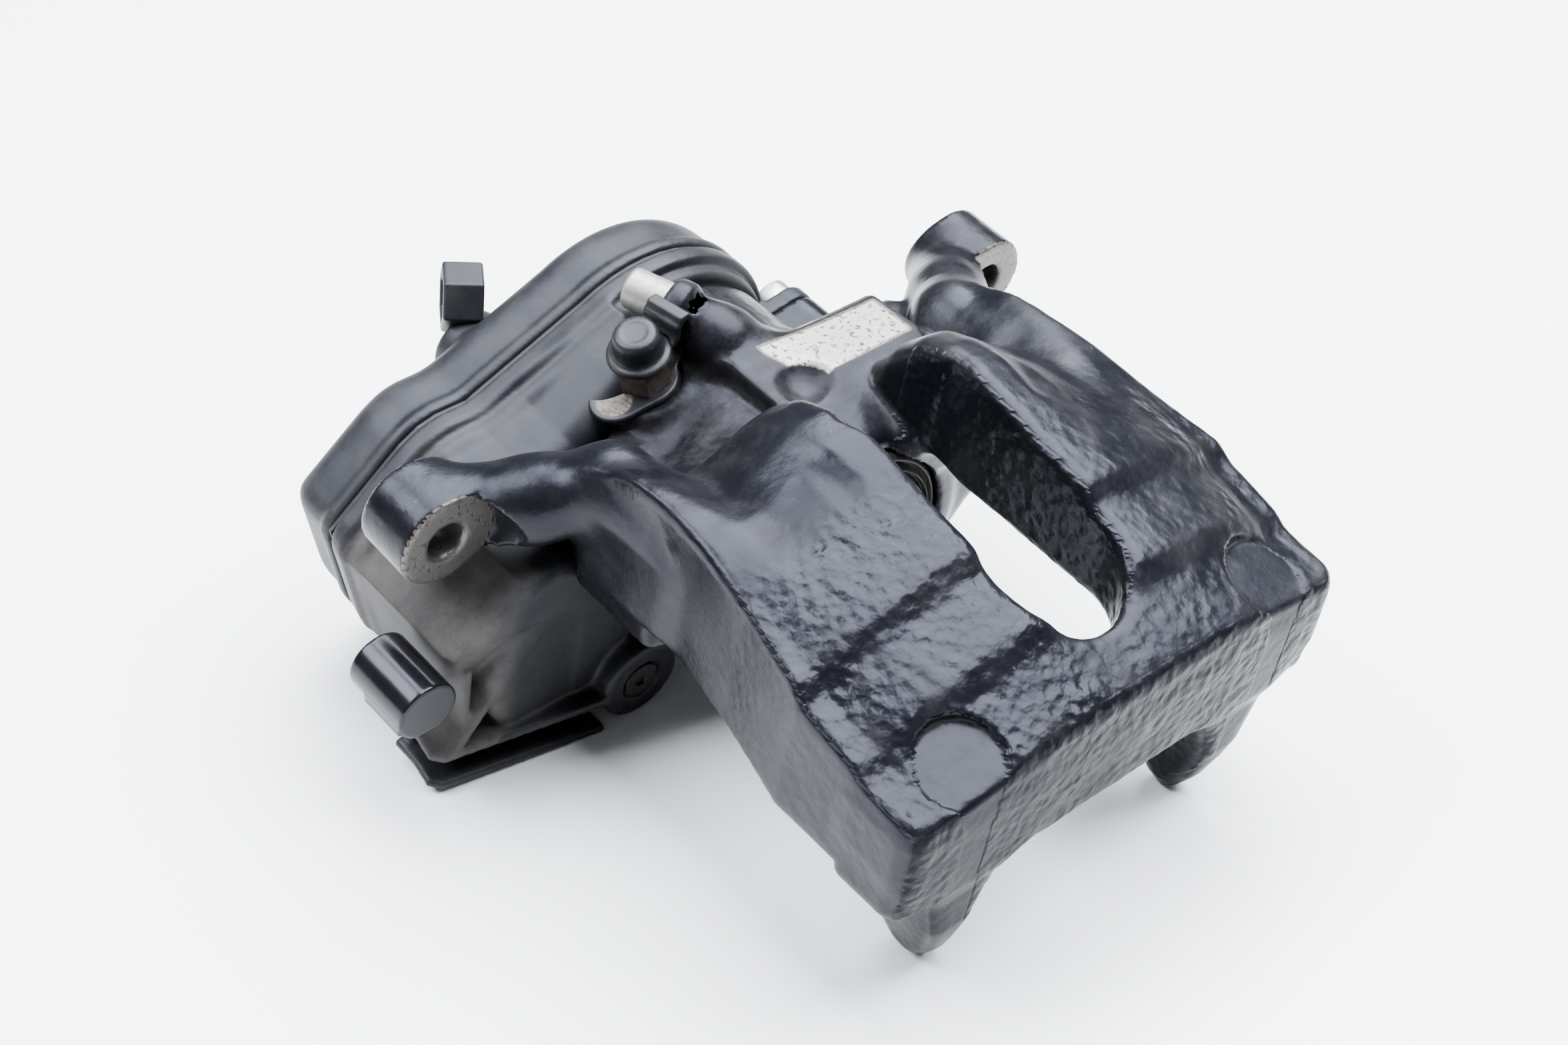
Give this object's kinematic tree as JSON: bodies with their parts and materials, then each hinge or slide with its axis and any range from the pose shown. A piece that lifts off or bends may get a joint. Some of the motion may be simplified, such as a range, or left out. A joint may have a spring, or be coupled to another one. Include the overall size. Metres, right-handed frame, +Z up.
{
  "type": "brake caliper",
  "caption": "Rear sliding brake caliper housing with bridge and fingers, piston, bleed screw and a motor driven parking brake unit on its back.",
  "frame": {"origin": "middle of the resting assembly's footprint, on the bench", "axes": "+X along the two guide bolt ears, +Y towards the parking brake actuator, +Z up; the piston axis lies in the YZ plane, rising 10 degrees towards +Y"},
  "size_m": [0.172, 0.1725, 0.0875],
  "materials": {
    "cast_body": "black painted casting, satin, with bare chips",
    "steel_piston": "ground and plated steel",
    "seal_rubber": "matte",
    "machined_steel": "machined",
    "rusty_steel": "plated steel with brown rust",
    "cap_rubber": "satin, dusty",
    "port_steel": "bare, dull",
    "case_plastic": "matte glass filled nylon, dusty",
    "plug_plastic": "gloss",
    "gear_plastic": "moulded acetal",
    "belt_rubber": "matte",
    "copper": "enamelled copper wire",
    "magnet": "ferrite, matte",
    "terminal": "tinned brass"
  },
  "bodies": {
    "housing": {"caliper_housing": "cast_body", "piston_seal": "seal_rubber", "dust_boot": "seal_rubber", "thrust_bearing": "machined_steel", "thrust_washer": "machined_steel", "spindle_seal": "seal_rubber", "cap_strap": "cap_rubber", "hose_sleeve": "port_steel", "gear_case_base": "case_plastic", "gear_case_cover": "case_plastic", "case_seal": "seal_rubber", "turret_seal": "seal_rubber", "ring_gear": "gear_plastic", "pulley_axle": "machined_steel", "drive_belt": "belt_rubber", "motor_can": "machined_steel", "motor_magnets": "magnet", "motor_end_cap": "case_plastic", "mounting_screws": "machined_steel", "case_screw": "machined_steel", "connector_shroud": "plug_plastic", "connector_pins": "terminal", "cable_clip": "case_plastic"},
    "piston": {"piston": "steel_piston"},
    "nut": {"spindle_nut": "machined_steel"},
    "spindle": {"spindle": "machined_steel", "circlip": "machined_steel", "planet_carrier": "machined_steel", "planet_pins": "machined_steel"},
    "planet_1": {"planet_gear_1": "gear_plastic"},
    "planet_2": {"planet_gear_2": "gear_plastic"},
    "planet_3": {"planet_gear_3": "gear_plastic"},
    "sun": {"sun_pulley": "gear_plastic"},
    "rotor": {"motor_pulley": "machined_steel", "motor_shaft": "machined_steel", "motor_armature": "copper"},
    "bleed_screw": {"bleed_screw": "rusty_steel"},
    "bleed_cap": {"bleed_cap": "cap_rubber"}
  },
  "joints": [
    {"name": "piston_slide", "type": "slide", "parent": "housing", "child": "piston", "axis": [0, -0.9848, -0.1736], "range_m": [0, 0.014]},
    {"name": "motor_turn", "type": "hinge", "parent": "housing", "child": "rotor", "pos_m": [-0.04618, 0.04082, 0.02608], "axis": [0, 0.9848, 0.1736], "range_deg": [0, 12961]},
    {"name": "sun_turn", "type": "hinge", "parent": "housing", "child": "sun", "pos_m": [0.00382, 0.06689, 0.05099], "axis": [0, 0.9848, 0.1736], "range_deg": [0, 5400.5]},
    {"name": "spindle_turn", "type": "hinge", "parent": "housing", "child": "spindle", "pos_m": [0.00382, 0.03735, 0.04578], "axis": [0, 0.9848, 0.1736], "range_deg": [0, 1080.1]},
    {"name": "nut_slide", "type": "slide", "parent": "housing", "child": "nut", "axis": [0, -0.9848, -0.1736], "range_m": [0, 0.0045]},
    {"name": "planet_1_turn", "type": "hinge", "parent": "spindle", "child": "planet_1", "pos_m": [0.01883, 0.06098, 0.04995], "axis": [0, 0.9848, 0.1736], "range_deg": [-2880.3, 0]},
    {"name": "planet_2_turn", "type": "hinge", "parent": "spindle", "child": "planet_2", "pos_m": [-0.00367, 0.05873, 0.06274], "axis": [0, 0.9848, 0.1736], "range_deg": [-2880.3, 0]},
    {"name": "planet_3_turn", "type": "hinge", "parent": "spindle", "child": "planet_3", "pos_m": [-0.00367, 0.06324, 0.03715], "axis": [0, 0.9848, 0.1736], "range_deg": [-2880.3, 0]},
    {"name": "bleed_screw_turn", "type": "hinge", "parent": "housing", "child": "bleed_screw", "pos_m": [-0.01358, 0.03188, 0.06756], "axis": [-0.309, -0.1651, 0.9366], "range_deg": [0, 360]},
    {"name": "bleed_cap_pull", "type": "slide", "parent": "housing", "child": "bleed_cap", "axis": [-0.309, -0.1651, 0.9366], "range_m": [0, 0.014]}
  ],
  "couplings": [
    {"joint": "spindle_turn", "follows": "nut_slide", "rad_per_m": 4188.8},
    {"joint": "motor_turn", "follows": "nut_slide", "rad_per_m": 50265},
    {"joint": "sun_turn", "follows": "nut_slide", "rad_per_m": 20944},
    {"joint": "planet_1_turn", "follows": "nut_slide", "rad_per_m": -11170},
    {"joint": "planet_2_turn", "follows": "nut_slide", "rad_per_m": -11170},
    {"joint": "planet_3_turn", "follows": "nut_slide", "rad_per_m": -11170}
  ]
}
